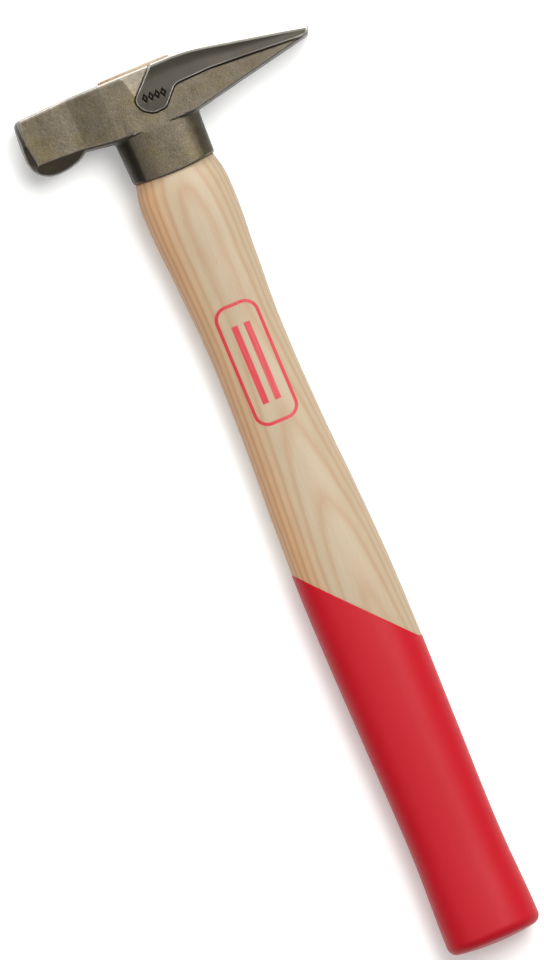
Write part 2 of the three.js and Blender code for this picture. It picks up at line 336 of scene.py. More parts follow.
def oval_distance(x, z, half_x, half_z, squareness):
    """Distance to an upright squared oval, measured along its own gradient."""
    u = np.abs(x / half_x) + 1e-9
    v = np.abs(z / half_z) + 1e-9
    sum_of_powers = u ** squareness + v ** squareness
    size = sum_of_powers ** (1 / squareness)
    shared = sum_of_powers ** (1 / squareness - 1)
    slope = np.hypot(shared * u ** (squareness - 1) / half_x, shared * v ** (squareness - 1) / half_z)
    return (size - 1) / slope


def rim_height(x):
    """The collar's rim hangs lowest at the cheeks and rises to both ends of its oval."""
    return RIM_SAG * (x / COLLAR_RIM[0]) ** 2


def eye_half_z(y):
    """The eye's half thickness, which narrows from the rim to the head's top."""
    return EYE_RIM_HALF_Z - EYE_TAPER * y / TOP_Y


def head_distance(x, y, z):
    """Signed distance to the head's surface."""
    side = outline_distance(x, y, side_outline)
    cheek = np.abs(z) - cheek_height(x, y, z > 0)
    lean = np.interp(y, [22, 27], [1, 0.6])
    corner = (cheek + lean * outline_distance(x, y, cheek_outline)) / np.hypot(1, lean)
    block = rounded_and(rounded_and(side, cheek, 0.1), corner, 0.2)

    from_axis = np.hypot(y - BELL_Y, z)
    back = x - FACE_X
    dome = DOME_RISE * (from_axis / DOME_RADIUS) ** 2 - back
    bevel = ((from_axis - DOME_RADIUS) * 1.1 - (back - DOME_RISE)) / 1.487
    disc = rounded_and(rounded_and(dome, bevel, 0.3), from_axis - FACE_RADIUS, 0.3)
    shoulder = (SHOULDER_BACK + 0.229 * (np.maximum(from_axis, 7) - FACE_RADIUS) - back) / 1.026
    block = rounded_and(block, rounded_or(disc, shoulder, 0.25), 0.25)

    rise = np.clip(y / COLLAR_TOP_Y, 0, 1)
    half_x = COLLAR_RIM[0] + (COLLAR_TOP[0] - COLLAR_RIM[0]) * rise
    half_z = COLLAR_RIM[1] + (COLLAR_TOP[1] - COLLAR_RIM[1]) * rise - 0.03 * np.maximum(y - COLLAR_TOP_Y, 0)
    wall = oval_distance(x, z, half_x, half_z, COLLAR_SQUARENESS)
    rim = (rim_height(x) - y) / np.hypot(1, 2 * RIM_SAG * x / COLLAR_RIM[0] ** 2)
    collar = np.maximum(rounded_and(wall, rim, 0.5), y - COLLAR_END_Y)
    body = rounded_or(block, collar, np.interp(np.abs(x), [4, 9], [0.1, 1.1]))

    eye = oval_distance(x, z, EYE_HALF_X, eye_half_z(y), EYE_SQUARENESS)
    return rounded_and(body, -eye, 0.35)


def grid_lines(stops):
    """Grid lines from (place, spacing) pairs: each spacing holds up to the next place."""
    lines = []
    for (start, spacing), (end, _) in zip(stops, stops[1:]):
        count = max(1, round((end - start) / spacing))
        lines += [start + (end - start) * i / count for i in range(count)]
    return np.array(lines + [stops[-1][0]])


def top_line(x):
    """The head's top edge at many places at once."""
    stations = np.linspace(FACE_X, 56, 400)
    return np.interp(x, stations, [top_height(station) for station in stations])


def along_edges(x, y):
    """The height of a grid row at x: rows run beside the head's top edge and close up along the peen."""
    top = top_line(x)
    bottom = np.interp(x, [PEEN_ROOT_X, PEEN_TIP[1][0]], [PEEN_ROOT_Y, PEEN_TIP[1][1]])
    return top - (TOP_Y - y) * (top - bottom) / (TOP_Y - PEEN_ROOT_Y)


def skin(distance, lines):
    """A closed quad skin over the surface where distance is 0: one point in each grid box that it crosses."""
    gx, gy, gz = lines
    field = distance(gx[:, None, None], along_edges(gx[:, None], gy[None, :])[:, :, None], gz[None, None, :])

    def corner(b, c, i, j):
        """The grid points at one corner of each grid square that lies across axes b and c."""
        at = [slice(None)] * 3
        at[b] = slice(i, i - 1 or None)
        at[c] = slice(j, j - 1 or None)
        return tuple(at)

    # A grid square that is solid at two opposite corners only would pinch the skin, so a third corner is put
    # just inside. That can pinch a neighbour, so it is done a few times.
    for _ in range(4):
        for b, c in ((0, 1), (1, 2), (2, 0)):
            for i in (0, 1):
                pinched = (field[corner(b, c, 0, i)] < 0) & (field[corner(b, c, 1, 1 - i)] < 0)
                pinched &= (field[corner(b, c, 0, 1 - i)] >= 0) & (field[corner(b, c, 1, i)] >= 0)
                field[corner(b, c, 0, 1 - i)][pinched] = -0.01
    solid = field < 0
    counts = [len(line) - 1 for line in lines]
    total = np.zeros(counts + [3])
    crossings = np.zeros(counts)
    starts = [line[:-1] for line in lines]
    sizes = [np.diff(line) for line in lines]
    for axis in range(3):
        others = [a for a in range(3) if a != axis]
        for i in (0, 1):
            for j in (0, 1):
                at = [None, None, None]
                at[axis] = slice(0, -1)
                at[others[0]] = slice(i, counts[others[0]] + i)
                at[others[1]] = slice(j, counts[others[1]] + j)
                first = field[tuple(at)]
                at[axis] = slice(1, None)
                second = field[tuple(at)]
                crossed = (first < 0) != (second < 0)
                share = np.where(crossed, first / np.where(crossed, first - second, 1), 0)
                crossings += crossed
                total[..., axis] += share
                total[..., others[0]] += crossed * i
                total[..., others[1]] += crossed * j
    used = crossings > 0
    index = -np.ones(counts, dtype=int)
    index[used] = np.arange(used.sum())
    where = np.argwhere(used)
    share = total[used] / crossings[used][:, None]
    columns = [starts[a][where[:, a]] + share[:, a] * sizes[a][where[:, a]] for a in range(3)]
    points = np.stack(columns, axis=1)
    points[:, 1] = along_edges(points[:, 0], points[:, 1])

    faces = []
    for axis in range(3):
        b, c = (axis + 1) % 3, (axis + 2) % 3
        at = [slice(None)] * 3
        at[axis] = slice(0, -1)
        before = solid[tuple(at)]
        at[axis] = slice(1, None)
        after = solid[tuple(at)]
        for mask, turned in ((before & ~after, False), (~before & after, True)):
            edge = np.argwhere(mask)
            corners = []
            for db, dc in ((-1, -1), (0, -1), (0, 0), (-1, 0)):
                cell = edge.copy()
                cell[:, b] += db
                cell[:, c] += dc
                corners.append(index[cell[:, 0], cell[:, 1], cell[:, 2]])
            quad = np.stack(corners[::-1] if turned else corners, axis=1)
            faces.append(quad)
    return points, np.concatenate(faces)


def gradient(distance, points, step):
    """The slope of a distance field at each point."""
    slopes = []
    for axis in range(3):
        shift = np.zeros(3)
        shift[axis] = step
        ahead = distance(*(points + shift).T)
        behind = distance(*(points - shift).T)
        slopes.append((ahead - behind) / (2 * step))
    return np.stack(slopes, axis=1)


# The grid closes up round the stamp, along the head's top edge and over the panel's wall
head_spacing = 0.43
head_lines = [
    grid_lines([(-42.2, head_spacing), (-1.6, 0.17), (7.4, head_spacing), (55.4, 1)]),
    grid_lines(
        [(-1.1, head_spacing), (22.4, 0.18), (25.5, head_spacing), (31.9, 0.15), (33.7, 0.3), (34.6, 1)]
    ),
    grid_lines([(-12.1, head_spacing), (9.3, 0.15), (11.4, 0.3), (12.1, 1)]),
]
head_points, head_faces = skin(head_distance, head_lines)
for _ in range(3):
    slope = gradient(head_distance, head_points, 0.02)
    off = head_distance(*head_points.T)[:, None]
    head_points -= np.clip(off / np.maximum((slope ** 2).sum(axis=1, keepdims=True), 0.2), -0.2, 0.2) * slope
slope = gradient(head_distance, head_points, 0.12)
facing = slope / np.maximum(np.linalg.norm(slope, axis=1, keepdims=True), 1e-6)
# Painted shade on the collar's two ends, heavier on the left end.
collar_end_shade_paint = np.interp(facing[:, 0], [-0.44, -0.28, 0.45, 0.85], [0.75, 0, 0, 0.5])
collar_end_shade_paint = np.where(head_points[:, 1] < EYE_BOTTOM_Y, collar_end_shade_paint, 0)
# Painted shade on the poll's bevelled shoulder, which faces away from the light.
poll_shoulder_shade_paint = np.interp(facing[:, 0], [-0.99, -0.93, -0.5, -0.25], [0, 0.5, 0.5, 0])
poll_shoulder_shade_paint = poll_shoulder_shade_paint * (head_points[:, 0] < -37)
# Painted shade at each point: the strongest of the downward faces, the poll's shoulder and the collar's ends.
painted_shade_share = np.maximum(np.maximum(-0.6 * facing[:, 1], poll_shoulder_shade_paint), collar_end_shade_paint)
# Curvature: positive on edges, where it gives real wear and the painted highlights, and negative in hollows
# and corners, where it gives painted shade.
bend = -6 * head_distance(*head_points.T)
for axis in range(3):
    for side in (-0.45, 0.45):
        shift = np.zeros(3)
        shift[axis] = side
        bend += head_distance(*(head_points + shift).T)
# Painted highlight: a bright band along the top edges only, where light from above catches them.
below_top = top_line(head_points[:, 0]) - head_points[:, 1]
top_edge_painted_highlight = np.clip(1.4 - np.abs(below_top - 0.35) / 0.5, 0, 1)
top_edge_painted_highlight = top_edge_painted_highlight * np.interp(np.abs(facing[:, 2]), [0.6, 0.8], [0, 1])
bend = np.maximum(bend, 0.55 * top_edge_painted_highlight)
# Painted highlight on the sloping facet by the panel's round end.
facet_painted_highlight = (head_points - [*FACET_CORNER, 0]) @ [*FACET_ACROSS, 0] > 0
facet_painted_highlight &= (head_points[:, 1] > 26) & (panel_share(head_points[:, 0], head_points[:, 1]) < 0.5)
bend = np.maximum(bend, 0.21 * facet_painted_highlight)
beside_stamp = np.abs(head_points[:, 0] - STAMP_MIDDLE[0]) < 4.3
beside_stamp &= np.abs(head_points[:, 1] - STAMP_MIDDLE[1]) < 2
bend = np.where(beside_stamp, np.minimum(bend, 0), bend)

# Forged steel, shot blasted and oiled: a matt olive grey, worn bright on the edges, with painted highlights
# along the top edges and on the facet, and painted shade in hollows and corners, in the stamp, on the faces
# below, at the collar's ends and on the poll's shoulder. The ground panel is smoother and more neutral, with
# fine grinding lines along the peen.
steel_blasted, tree = new_material("forged_steel_blasted_oiled")
place = add(tree, "ShaderNodeTexCoord").outputs["Object"]
in_mm = add(tree, "ShaderNodeVectorMath", {"operation": "SCALE"}, place, 1 / MM)
ground = add(tree, "ShaderNodeAttribute", {"attribute_name": "panel"}).outputs["Fac"]
curving_wear_light_shade = add(tree, "ShaderNodeAttribute", {"attribute_name": "bend"}).outputs["Fac"]
cloud = add(tree, "ShaderNodeTexNoise", {}, in_mm, Scale=0.14, Detail=5, Roughness=0.6)
blotch = add(tree, "ShaderNodeTexNoise", {}, in_mm, Scale=0.5, Detail=4, Roughness=0.55)
grit = add(tree, "ShaderNodeTexNoise", {}, in_mm, Scale=1.9, Detail=3, Roughness=0.65)
tint = add(tree, "ShaderNodeValToRGB", {}, cloud)
tint.color_ramp.elements[0].position = 0.3
tint.color_ramp.elements[0].color = linear("#4f4739")
tint.color_ramp.elements[1].position = 0.72
tint.color_ramp.elements[1].color = linear("#5f584d")
oil = add(tree, "ShaderNodeTexNoise", {}, in_mm, Scale=0.085, Detail=3, Roughness=0.55)
oil = add(tree, "ShaderNodeMapRange", {}, oil, 0.48, 0.66, 0, 0.5)
tint = add(tree, "ShaderNodeMix", {"data_type": "RGBA"}, oil, tint, linear("#5f5538"))
mottle = add(tree, "ShaderNodeMapRange", {}, blotch, 0.35, 0.7, 0.9, 1.09)
speck = add(tree, "ShaderNodeMapRange", {}, grit, 0.3, 0.7, 0.8, 1.18)
shade = add(tree, "ShaderNodeMath", {"operation": "MULTIPLY"}, mottle, speck)
blasted = add(tree, "ShaderNodeVectorMath", {"operation": "SCALE"}, tint, shade)
stretched = add(tree, "ShaderNodeVectorMath", {"operation": "MULTIPLY"}, in_mm, (0.12, 2.6, 2.6))
lines = add(tree, "ShaderNodeTexNoise", {}, stretched, Scale=1, Detail=3, Roughness=0.6)
ground_tone = add(tree, "ShaderNodeMapRange", {}, lines, 0.3, 0.7, 0.92, 1.07)
ground_colour = add(tree, "ShaderNodeVectorMath", {"operation": "SCALE"}, linear("#36332d")[:3], ground_tone)
colour = add(tree, "ShaderNodeMix", {"data_type": "RGBA"}, ground, blasted, ground_colour)
# Edges worn bright by use, with the painted highlights of the top edges and the facet mixed in.
rubbed_and_highlight = add(tree, "ShaderNodeMapRange", {}, curving_wear_light_shade, 0.15, 0.7, 0, 0.5)
colour = add(tree, "ShaderNodeMix", {"data_type": "RGBA"}, rubbed_and_highlight, colour, linear("#d6d2c8"))
# Painted shade in hollows and corners, mixed towards dark brown.
hollow_painted_shade = add(tree, "ShaderNodeMapRange", {}, curving_wear_light_shade, -0.1, -0.6, 0, 0.7)
colour = add(tree, "ShaderNodeMix", {"data_type": "RGBA"}, hollow_painted_shade, colour, linear("#2b2721"))
# Painted shade: downward faces, the collar's ends and the poll's shoulder are mixed towards dark brown.
painted_shade_attr = add(tree, "ShaderNodeAttribute", {"attribute_name": "painted_shade_attr"}).outputs["Fac"]
painted_shade_mix = add(tree, "ShaderNodeMapRange", {"interpolation_type": "SMOOTHSTEP"}, painted_shade_attr, 0.15, 0.7, 0, 0.8)
colour = add(tree, "ShaderNodeMix", {"data_type": "RGBA"}, painted_shade_mix, colour, linear("#2c2823"))
# Painted shade in the stamp's lozenges, which are mixed towards near black.
punched = add(tree, "ShaderNodeAttribute", {"attribute_name": "punched"}).outputs["Fac"]
punched = add(tree, "ShaderNodeMapRange", {}, punched, 0.2, 0.8, 0, 0.85)
colour = add(tree, "ShaderNodeMix", {"data_type": "RGBA"}, punched, colour, linear("#231f1a"))
matt = add(tree, "ShaderNodeMapRange", {}, blotch, 0.3, 0.7, 0.39, 0.5)
gloss = add(tree, "ShaderNodeMix", {}, ground, matt, 0.33)
gloss = add(tree, "ShaderNodeMix", {}, rubbed_and_highlight, gloss, 0.28)
gloss = add(tree, "ShaderNodeMix", {}, punched, gloss, 0.7)
rough_height = add(tree, "ShaderNodeMath", {"operation": "MULTIPLY_ADD"}, blotch, 1.6, grit)
height = add(tree, "ShaderNodeMix", {}, ground, rough_height, lines)
depth = add(tree, "ShaderNodeMix", {}, ground, 0.42, 0.12)
bumps = add(tree, "ShaderNodeBump", {}, depth, 0.00012, Height=height)
shader = add(tree, "ShaderNodeBsdfPrincipled", {}, colour, Metallic=0.92, Roughness=gloss, Normal=bumps)
add(tree, "ShaderNodeOutputMaterial", {}, shader)

head = mesh_piece("hammer_head_forged", (head_points + RIM_TO_FRAME) * MM, head_faces.tolist(), steel_blasted)
for name, values in (
    ("panel", panel_share(head_points[:, 0], head_points[:, 1])),
    ("bend", bend),
    ("painted_shade_attr", np.clip(painted_shade_share, 0, 1)),
    ("punched", stamp_depth(head_points[:, 0], head_points[:, 1]) / STAMP_DEPTH * (head_points[:, 2] > 10)),
):
    attribute = head.data.attributes.new(name, "FLOAT", "POINT")
    attribute.data.foreach_set("value", values.astype(np.float32))
head.data.normals_split_custom_set_from_vertices(facing.tolist())
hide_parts("hammer_head")
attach(head, "root")


# ---------------------------------------------------------------- the handle
# One length of turned and sanded ash under clear lacquer: a squared oval all the way, thin behind the collar
# and full in the hand. Its tenon fills the head's eye, stands 1 mm proud and is sawn to take the wedges.
# Under the grip coat the wood is the coat's thickness smaller. The print on the side is a plain frame.

HANDLE_LENGTH = 254.2
WIDTH_UNIT = 16
HALF_WIDTHS = [(0, 12.75), (10.5, 14.4), (32, 13.35), (57, 12.33), (86, 12.92), (110, 14.1), (142, 14.95)]
HALF_WIDTHS += [(185, 14.45), (218, 14.0), (248, 14.9), (254.2, 14.95)]
HALF_THICKNESSES = [(0, 9.2), (10.5, 9.9), (32, 9.1), (57, 8.4), (92, 9.1), (142, 10.5), (216, 10.1)]
HALF_THICKNESSES += [(250, 10.9)]
COAT = 0.5
DIP_HALF_WIDTH = 15.1
ROUND_FROM = 0.94
BUTT_TURN = math.radians(80)
TENON_TOP_Y = 34.2
TENON_ROOT_Y = -4
TENON_GAP = 0.1
KERF_LENGTH = 30
CUT_ABOVE = 2
WEDGE_GAP = 0.1
WOOD_WEDGE = {"top": 2.6, "tip": 0.7, "depth": 22, "length": 22, "turn": 0}
STEEL_WEDGE = {"top": 1.9, "tip": 0.5, "depth": 12, "length": 13, "turn": 40}

MATH = "ShaderNodeMath"
loft = bpy.data.node_groups.new("squared_oval_loft", "GeometryNodeTree")
loft.interface.new_socket("Geometry", in_out="OUTPUT", socket_type="NodeSocketGeometry")
for name, kind in (
    ("Sides", "NodeSocketInt"),
    ("Rings", "NodeSocketInt"),
    ("Two walls", "NodeSocketFloat"),
    ("Slanted start", "NodeSocketFloat"),
    ("Start down", "NodeSocketFloat"),
    ("Length", "NodeSocketFloat"),
    ("Crowding", "NodeSocketFloat"),
    ("Squareness", "NodeSocketFloat"),
    ("Butt round", "NodeSocketFloat"),
    ("Butt dome", "NodeSocketFloat"),
    ("Rim sag", "NodeSocketFloat"),
    ("Dip edge down", "NodeSocketFloat"),
    ("Dip slant", "NodeSocketFloat"),
    ("Dip level from", "NodeSocketFloat"),
    ("Coat", "NodeSocketFloat"),
    ("Lip", "NodeSocketFloat"),
    ("Material", "NodeSocketMaterial"),
):
    loft.interface.new_socket(name, in_out="INPUT", socket_type=kind)
given = add(loft, "NodeGroupInput").outputs
fan = {"fill_type": "TRIANGLE_FAN"}
tube = add(loft, "GeometryNodeMeshCylinder", fan, given["Sides"], given["Rings"], 8, 1.0, 1.0)
spot = add(loft, "ShaderNodeSeparateXYZ", {}, add(loft, "GeometryNodeInputPosition"))
flat_spot = add(loft, "ShaderNodeCombineXYZ", {}, spot.outputs[0], spot.outputs[1], 0.0)
share = add(loft, "ShaderNodeVectorMath", {"operation": "LENGTH"}, flat_spot).outputs["Value"]
share = add(loft, MATH, {"operation": "MAXIMUM"}, share, 1e-5)

# How far along the wall a ring is: from the start to the butt, or, with two walls, up the inside and down the
# outside
run = add(loft, MATH, {"operation": "SUBTRACT"}, 0.5, spot.outputs[2])
there_and_back = add(loft, MATH, {"operation": "MULTIPLY_ADD"}, run, 2.0, -1.0)
outside = add(loft, MATH, {"operation": "GREATER_THAN"}, there_and_back, 0.0)
outside = add(loft, "ShaderNodeMix", {}, given["Two walls"], 1.0, outside)
one_way = add(loft, MATH, {"operation": "ABSOLUTE"}, there_and_back)
run = add(loft, "ShaderNodeMix", {}, given["Two walls"], run, one_way)
down_share = add(loft, "ShaderNodeMapRange", {}, run, 0.0, ROUND_FROM, 0.0, 1.0)
down_share = add(loft, MATH, {"operation": "POWER"}, down_share, given["Crowding"])
round_share = add(loft, "ShaderNodeMapRange", {}, run, ROUND_FROM, 1.0, 0.0, 1.0)
round_angle = add(loft, MATH, {"operation": "MULTIPLY"}, round_share, BUTT_TURN)

# The squared oval, one unit wide
power = add(loft, MATH, {"operation": "DIVIDE"}, 2.0, given["Squareness"])
unit = []
for axis in (0, 1):
    part = add(loft, MATH, {"operation": "DIVIDE"}, spot.outputs[axis], share)
    size = add(loft, MATH, {"operation": "POWER"}, add(loft, MATH, {"operation": "ABSOLUTE"}, part), power)
    way = add(loft, MATH, {"operation": "SIGN"}, part)
    unit.append(add(loft, MATH, {"operation": "MULTIPLY"}, size, way))

# Where the ring starts: level, or on the slanted line of the dip, which runs out level at one side
side_x = add(loft, MATH, {"operation": "MULTIPLY"}, unit[0], DIP_HALF_WIDTH)
side_x = add(loft, MATH, {"operation": "SMOOTH_MIN"}, side_x, given["Dip level from"], 1.0)
slope, edge = given["Dip slant"], given["Dip edge down"]
slant_down = add(loft, MATH, {"operation": "MULTIPLY_ADD"}, side_x, slope, edge)
start = add(loft, "ShaderNodeMix", {}, given["Slanted start"], given["Start down"], slant_down)
last = add(loft, MATH, {"operation": "SUBTRACT"}, given["Length"], given["Butt dome"])
last = add(loft, MATH, {"operation": "SUBTRACT"}, last, given["Butt round"])
span = add(loft, MATH, {"operation": "SUBTRACT"}, last, start)
down = add(loft, MATH, {"operation": "MULTIPLY_ADD"}, span, down_share, start)

# Half width and half thickness at that distance down
halves = []
for stations in (HALF_WIDTHS, HALF_THICKNESSES):
    along = add(loft, MATH, {"operation": "DIVIDE"}, down, HANDLE_LENGTH)
    rule = add(loft, "ShaderNodeFloatCurve", {}, 1.0, along)
    points = rule.mapping.curves[0].points
    while len(points) < len(stations):
        points.new(0.5, 0.5)
    for point, (station, half) in zip(points, stations):
        point.location = (station / HANDLE_LENGTH, half / WIDTH_UNIT)
        point.handle_type = "AUTO_CLAMPED"
    rule.mapping.update()
    halves.append(add(loft, MATH, {"operation": "MULTIPLY"}, rule, float(WIDTH_UNIT)))

# The wood sinks, and the coat's inside with it, below the dip line; the coat's outside stands a lip proud
line_x = add(loft, MATH, {"operation": "MULTIPLY"}, unit[0], halves[0])
line_x = add(loft, MATH, {"operation": "SMOOTH_MIN"}, line_x, given["Dip level from"], 1.0)
line_down = add(loft, MATH, {"operation": "MULTIPLY_ADD"}, line_x, slope, edge)
below_line = add(loft, MATH, {"operation": "SUBTRACT"}, down, line_down)
sink = add(loft, "ShaderNodeMapRange", {"interpolation_type": "SMOOTHSTEP"}, below_line, 0.0, 4.0, 0.0, 1.0)
sink = add(loft, MATH, {"operation": "MULTIPLY"}, sink, given["Coat"])
lip_share = add(loft, "ShaderNodeMapRange", {}, below_line, 0.0, 0.5, 1.0, 0.0)
lip_share = add(loft, MATH, {"operation": "MULTIPLY"}, lip_share, lip_share)
lip_share = add(loft, MATH, {"operation": "SQRT"}, add(loft, MATH, {"operation": "SUBTRACT"}, 1.0, lip_share))
lip = add(loft, MATH, {"operation": "MULTIPLY"}, lip_share, given["Lip"])
inward = add(loft, MATH, {"operation": "MULTIPLY"}, sink, -1.0)
offset = add(loft, "ShaderNodeMix", {}, outside, inward, lip)
offset = add(loft, "ShaderNodeMix", {}, given["Two walls"], inward, offset)

# The butt's round edge and dome
radius = add(loft, MATH, {"operation": "ADD"}, given["Butt round"], offset)
turned = add(loft, MATH, {"operation": "COSINE"}, round_angle)
turned = add(loft, MATH, {"operation": "SUBTRACT"}, 1.0, turned)
pull = add(loft, MATH, {"operation": "MULTIPLY"}, radius, turned)
drop = add(loft, MATH, {"operation": "MULTIPLY"}, radius, add(loft, MATH, {"operation": "SINE"}, round_angle))
outward = add(loft, MATH, {"operation": "SUBTRACT"}, offset, pull)
share_squared = add(loft, MATH, {"operation": "MULTIPLY"}, share, share)
on_cap = add(loft, MATH, {"operation": "SUBTRACT"}, 1.0, share_squared)
last_rings = add(loft, MATH, {"operation": "GREATER_THAN"}, run, 0.99)
at_butt = add(loft, MATH, {"operation": "MULTIPLY"}, on_cap, last_rings)
drop = add(loft, MATH, {"operation": "MULTIPLY_ADD"}, at_butt, given["Butt dome"], drop)
place_down = add(loft, MATH, {"operation": "ADD"}, down, drop)
sides = []
for half, part in zip(halves, unit):
    reach = add(loft, MATH, {"operation": "ADD"}, half, outward)
    reach = add(loft, MATH, {"operation": "MULTIPLY"}, reach, share)
    sides.append(add(loft, MATH, {"operation": "MULTIPLY"}, reach, part))

# The shoulder follows the sagging rim of the collar
near_rim = add(loft, "ShaderNodeMapRange", {}, down, 0.0, 8.0, 1.0, 0.0)
across = add(loft, MATH, {"operation": "DIVIDE"}, sides[0], COLLAR_RIM[0])
rise = add(loft, MATH, {"operation": "MULTIPLY"}, across, across)
rise = add(loft, MATH, {"operation": "MULTIPLY"}, rise, near_rim)
height = add(loft, MATH, {"operation": "MULTIPLY"}, rise, given["Rim sag"])
height = add(loft, MATH, {"operation": "SUBTRACT"}, height, place_down)
moved = add(loft, "ShaderNodeCombineXYZ", {}, sides[0], height, sides[1])
moved = add(loft, "ShaderNodeVectorMath", {"operation": "ADD"}, moved, tuple(RIM_TO_FRAME))
moved = add(loft, "ShaderNodeVectorMath", {"operation": "SCALE"}, moved, MM)
lofted = add(loft, "GeometryNodeSetPosition", {}, tube, Position=moved)
lofted = add(loft, "GeometryNodeFlipFaces", {}, lofted)
lofted = add(loft, "GeometryNodeSetShadeSmooth", {}, lofted)
lofted = add(loft, "GeometryNodeRealizeInstances", {}, lofted)
lofted = add(loft, "GeometryNodeSetMaterial", {}, lofted, Material=given["Material"])
add(loft, "NodeGroupOutput", {}, lofted)


def lofted_piece(name, material, **sizes):
    """A plain mesh made by the loft tree with the given sizes in mm."""
    source = bpy.data.objects.new(name + "_source", bpy.data.meshes.new(name + "_source"))
    bpy.context.scene.collection.objects.link(source)
    modifier = source.modifiers.new("loft", "NODES")
    modifier.node_group = loft
    sizes["Material"] = material
    for item in loft.interface.items_tree:
        if item.in_out == "INPUT":
            modifier[item.identifier] = sizes[item.name.replace(" ", "_")]
    graph = bpy.context.evaluated_depsgraph_get()
    mesh = bpy.data.meshes.new_from_object(source.evaluated_get(graph))
    mesh.name = name
    mesh.materials.clear()
    mesh.materials.append(material)
    mesh.polygons.foreach_set("material_index", [0] * len(mesh.polygons))
    bpy.data.objects.remove(source)
    piece = bpy.data.objects.new(name, mesh)
    bpy.context.scene.collection.objects.link(piece)
    return piece


HANDLE_SIZES = {
    "Sides": 144,
    "Length": HANDLE_LENGTH,
    "Squareness": 2.4,
    "Butt_round": 3.0,
    "Butt_dome": 1.0,
    "Rim_sag": RIM_SAG,
    "Dip_edge_down": 143.3,
    "Dip_slant": math.tan(math.radians(47.5)),
    "Dip_level_from": 14.2,
    "Coat": COAT,
}

# Ash, sanded along the grain and lacquered: cream with soft brown rings that show as lines at the sides and
# as an arch in the middle, fine fibres, short open pores, and a dull shine.
PITH_OFFSET = (-1, 0, -26.1)
RING_SPACING = 2.1
RING_DRIFT = 2.0
ash, tree = new_material("ash_sanded_clear_lacquer")
place = add(tree, "ShaderNodeTexCoord").outputs["Object"]
wood = add(tree, "ShaderNodeMapping", {}, place, Location=tuple(-RIM_TO_FRAME), Scale=(1 / MM,) * 3)
wood_x, wood_y, wood_z = add(tree, "ShaderNodeSeparateXYZ", {}, wood).outputs
drift_at = add(tree, "ShaderNodeVectorMath", {"operation": "MULTIPLY"}, wood, (1 / 16, 1 / 75, 1 / 16))
drift = add(tree, "ShaderNodeTexNoise", {}, drift_at, Scale=1, Detail=3, Roughness=0.5)
pith_x = add(tree, "ShaderNodeMath", {"operation": "MULTIPLY_ADD"}, wood_y, 0.04, wood_x)
from_pith = add(tree, "ShaderNodeCombineXYZ", {}, pith_x, 0, wood_z)
from_pith = add(tree, "ShaderNodeVectorMath", {"operation": "ADD"}, from_pith, PITH_OFFSET)
ring = add(tree, "ShaderNodeVectorMath", {"operation": "LENGTH"}, from_pith).outputs["Value"]
ring = add(tree, "ShaderNodeMath", {"operation": "MULTIPLY_ADD"}, wood_y, 0.045, ring)
ring = add(tree, "ShaderNodeMath", {"operation": "MULTIPLY_ADD"}, drift, RING_DRIFT, ring)
ring = add(tree, "ShaderNodeMath", {"operation": "DIVIDE"}, ring, RING_SPACING)
ring = add(tree, "ShaderNodeMath", {"operation": "FRACT"}, ring)
early = add(tree, "ShaderNodeValToRGB", {}, ring)
early.color_ramp.elements[0].position = 0.0
early.color_ramp.elements[0].color = (0.6, 0.6, 0.6, 1)
early.color_ramp.elements[1].position = 1.0
early.color_ramp.elements[1].color = (0.6, 0.6, 0.6, 1)
for position, value in ((0.14, 1.0), (0.34, 0.3), (0.6, 0.0), (0.86, 0.08)):
    early.color_ramp.elements.new(position).color = (value, value, value, 1)
# Browner, with stronger rings, towards the handle's side at negative x.
browner_side = add(tree, "ShaderNodeMapRange", {"interpolation_type": "SMOOTHSTEP"}, wood_x, -3, -14, 0.0, 1.0)
contrast = add(tree, "ShaderNodeMapRange", {}, browner_side, 0, 1, 0.4, 0.62)
early = add(tree, "ShaderNodeMath", {"operation": "MULTIPLY"}, early, contrast)
fibre_at = add(tree, "ShaderNodeVectorMath", {"operation": "MULTIPLY"}, wood, (1.6, 0.06, 1.6))
fibre = add(tree, "ShaderNodeTexNoise", {}, fibre_at, Scale=1, Detail=4, Roughness=0.6)
pore_at = add(tree, "ShaderNodeVectorMath", {"operation": "MULTIPLY"}, wood, (2.6, 0.22, 2.6))
pore = add(tree, "ShaderNodeTexNoise", {}, pore_at, Scale=1, Detail=2, Roughness=0.5)
pore = add(tree, "ShaderNodeMapRange", {}, pore, 0.62, 0.74, 0, 0.2)
patch_at = add(tree, "ShaderNodeVectorMath", {"operation": "MULTIPLY"}, wood, (0.09, 0.012, 0.09))
patch = add(tree, "ShaderNodeTexNoise", {}, patch_at, Scale=1, Detail=2, Roughness=0.5)
pale = add(tree, "ShaderNodeMix", {"data_type": "RGBA"}, patch, linear("#ad9c81"), linear("#ac997e"))
pale = add(tree, "ShaderNodeMix", {"data_type": "RGBA"}, browner_side, pale, linear("#c69a72"))
colour = add(tree, "ShaderNodeMix", {"data_type": "RGBA"}, early, pale, linear("#9d6c41"))
colour = add(tree, "ShaderNodeMix", {"data_type": "RGBA"}, pore, colour, linear("#8d643f"))
fibre_tone = add(tree, "ShaderNodeMapRange", {}, fibre, 0.3, 0.7, 0.95, 1.04)
colour = add(tree, "ShaderNodeVectorMath", {"operation": "SCALE"}, colour, fibre_tone)

